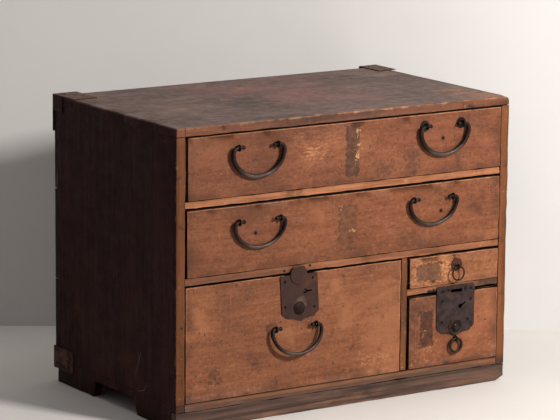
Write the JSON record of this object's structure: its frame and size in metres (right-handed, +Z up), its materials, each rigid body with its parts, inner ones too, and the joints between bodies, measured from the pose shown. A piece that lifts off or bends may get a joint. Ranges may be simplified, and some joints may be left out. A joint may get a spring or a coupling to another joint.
{
  "type": "tansu chest",
  "caption": "Low wooden chest of sliding drawers with iron bail handles, ring pulls, lock plates and corner irons.",
  "frame": {"origin": "middle of the whole footprint, on the floor", "axes": "+X to the right along the front, +Y from the drawer fronts to the back, +Z up"},
  "size_m": [0.6114, 0.3831, 0.4572],
  "materials": {
    "front_wood": "aged orange-brown lacquered wood, worn and scratched",
    "carcase_wood": "near-black brown stain, scuffed",
    "rail_wood": "aged yellowish brown wood",
    "plinth_wood": "dark grey-brown wood, scratched",
    "inner_wood": "pale unfinished wood, aged",
    "back_wood": "bare weathered wood",
    "dark_iron": "blackened wrought iron, rubbed",
    "rusty_iron": "brown rusted sheet iron"
  },
  "bodies": {
    "carcase": {"left_side": "carcase_wood", "right_side": "carcase_wood", "top_board": "carcase_wood", "bottom_board": "rail_wood", "front_plinth": "plinth_wood", "back_boards": "back_wood", "upper_rail": "rail_wood", "lower_rail": "rail_wood", "divider": "rail_wood", "small_shelf": "rail_wood", "drawer_runners": "inner_wood", "corner_irons_top": "rusty_iron", "corner_irons_bottom": "rusty_iron", "carcase_nails": "rusty_iron"},
    "top_drawer": {"top_drawer_front": "front_wood", "top_drawer_sides": "inner_wood", "top_drawer_back": "inner_wood", "top_drawer_bottom": "inner_wood", "top_handle_pins": "dark_iron", "top_pin_washers": "dark_iron"},
    "middle_drawer": {"middle_drawer_front": "front_wood", "middle_drawer_sides": "inner_wood", "middle_drawer_back": "inner_wood", "middle_drawer_bottom": "inner_wood", "middle_handle_pins": "dark_iron"},
    "deep_drawer": {"deep_drawer_front": "front_wood", "deep_drawer_sides": "inner_wood", "deep_drawer_back": "inner_wood", "deep_drawer_bottom": "inner_wood", "deep_handle_pins": "dark_iron", "deep_lock_boss": "dark_iron", "deep_lock_case": "dark_iron", "deep_lock_spring": "dark_iron", "deep_lock_plate": "rusty_iron", "deep_lock_nails": "rusty_iron"},
    "small_drawer": {"small_drawer_front": "front_wood", "small_drawer_sides": "inner_wood", "small_drawer_back": "inner_wood", "small_drawer_bottom": "inner_wood", "small_ring_pin": "dark_iron", "small_ring_plate": "rusty_iron"},
    "strong_drawer": {"strong_drawer_front": "front_wood", "strong_drawer_sides": "inner_wood", "strong_drawer_back": "inner_wood", "strong_drawer_bottom": "inner_wood", "strong_lock_plate": "dark_iron", "strong_lock_boss": "dark_iron", "strong_ring_pin": "dark_iron", "strong_lock_case": "dark_iron", "strong_lock_spring": "dark_iron", "strong_lock_nails": "dark_iron"},
    "top_left_bail": {"top_left_bail": "dark_iron"},
    "top_right_bail": {"top_right_bail": "dark_iron"},
    "middle_left_bail": {"middle_left_bail": "dark_iron"},
    "middle_right_bail": {"middle_right_bail": "dark_iron"},
    "deep_bail": {"deep_bail": "dark_iron"},
    "small_ring": {"small_ring": "dark_iron"},
    "strong_ring": {"strong_ring": "dark_iron"},
    "deep_lock_bolt": {"deep_lock_bolt": "dark_iron"},
    "strong_lock_bolt": {"strong_lock_bolt": "dark_iron"}
  },
  "joints": [
    {"name": "top_drawer_slide", "type": "slide", "parent": "carcase", "child": "top_drawer", "axis": [0, -1, 0], "range_m": [0, 0.26]},
    {"name": "middle_drawer_slide", "type": "slide", "parent": "carcase", "child": "middle_drawer", "axis": [0, -1, 0], "range_m": [0, 0.26]},
    {"name": "deep_drawer_slide", "type": "slide", "parent": "carcase", "child": "deep_drawer", "axis": [0, -1, 0], "range_m": [0, 0.26]},
    {"name": "small_drawer_slide", "type": "slide", "parent": "carcase", "child": "small_drawer", "axis": [0, -1, 0], "range_m": [0, 0.26]},
    {"name": "strong_drawer_slide", "type": "slide", "parent": "carcase", "child": "strong_drawer", "axis": [0, -1, 0], "range_m": [0, 0.26]},
    {"name": "top_left_bail_swing", "type": "hinge", "parent": "top_drawer", "child": "top_left_bail", "pos_m": [-0.1643, -0.18085, 0.4179], "axis": [-1, 0, 0], "range_deg": [0, 150]},
    {"name": "top_right_bail_swing", "type": "hinge", "parent": "top_drawer", "child": "top_right_bail", "pos_m": [0.1752, -0.18085, 0.4203], "axis": [-1, 0, 0], "range_deg": [0, 150]},
    {"name": "middle_left_bail_swing", "type": "hinge", "parent": "middle_drawer", "child": "middle_left_bail", "pos_m": [-0.1609, -0.18085, 0.3061], "axis": [-1, 0, 0], "range_deg": [0, 150]},
    {"name": "middle_right_bail_swing", "type": "hinge", "parent": "middle_drawer", "child": "middle_right_bail", "pos_m": [0.1567, -0.18085, 0.3079], "axis": [-1, 0, 0], "range_deg": [0, 150]},
    {"name": "deep_bail_swing", "type": "hinge", "parent": "deep_drawer", "child": "deep_bail", "pos_m": [-0.0947, -0.18085, 0.136], "axis": [-1, 0, 0], "range_deg": [-12, 150]},
    {"name": "small_ring_swing", "type": "hinge", "parent": "small_drawer", "child": "small_ring", "pos_m": [0.2038, -0.18365, 0.196], "axis": [-1, 0, 0], "range_deg": [0, 110]},
    {"name": "strong_ring_swing", "type": "hinge", "parent": "strong_drawer", "child": "strong_ring", "pos_m": [0.2042, -0.17975, 0.0806], "axis": [-1, 0, 0], "range_deg": [0, 110]},
    {"name": "deep_lock_bolt_slide", "type": "slide", "parent": "deep_drawer", "child": "deep_lock_bolt", "axis": [0, 0, 1], "range_m": [0, 0.009]},
    {"name": "strong_lock_bolt_slide", "type": "slide", "parent": "strong_drawer", "child": "strong_lock_bolt", "axis": [0, 0, 1], "range_m": [0, 0.011]}
  ]
}
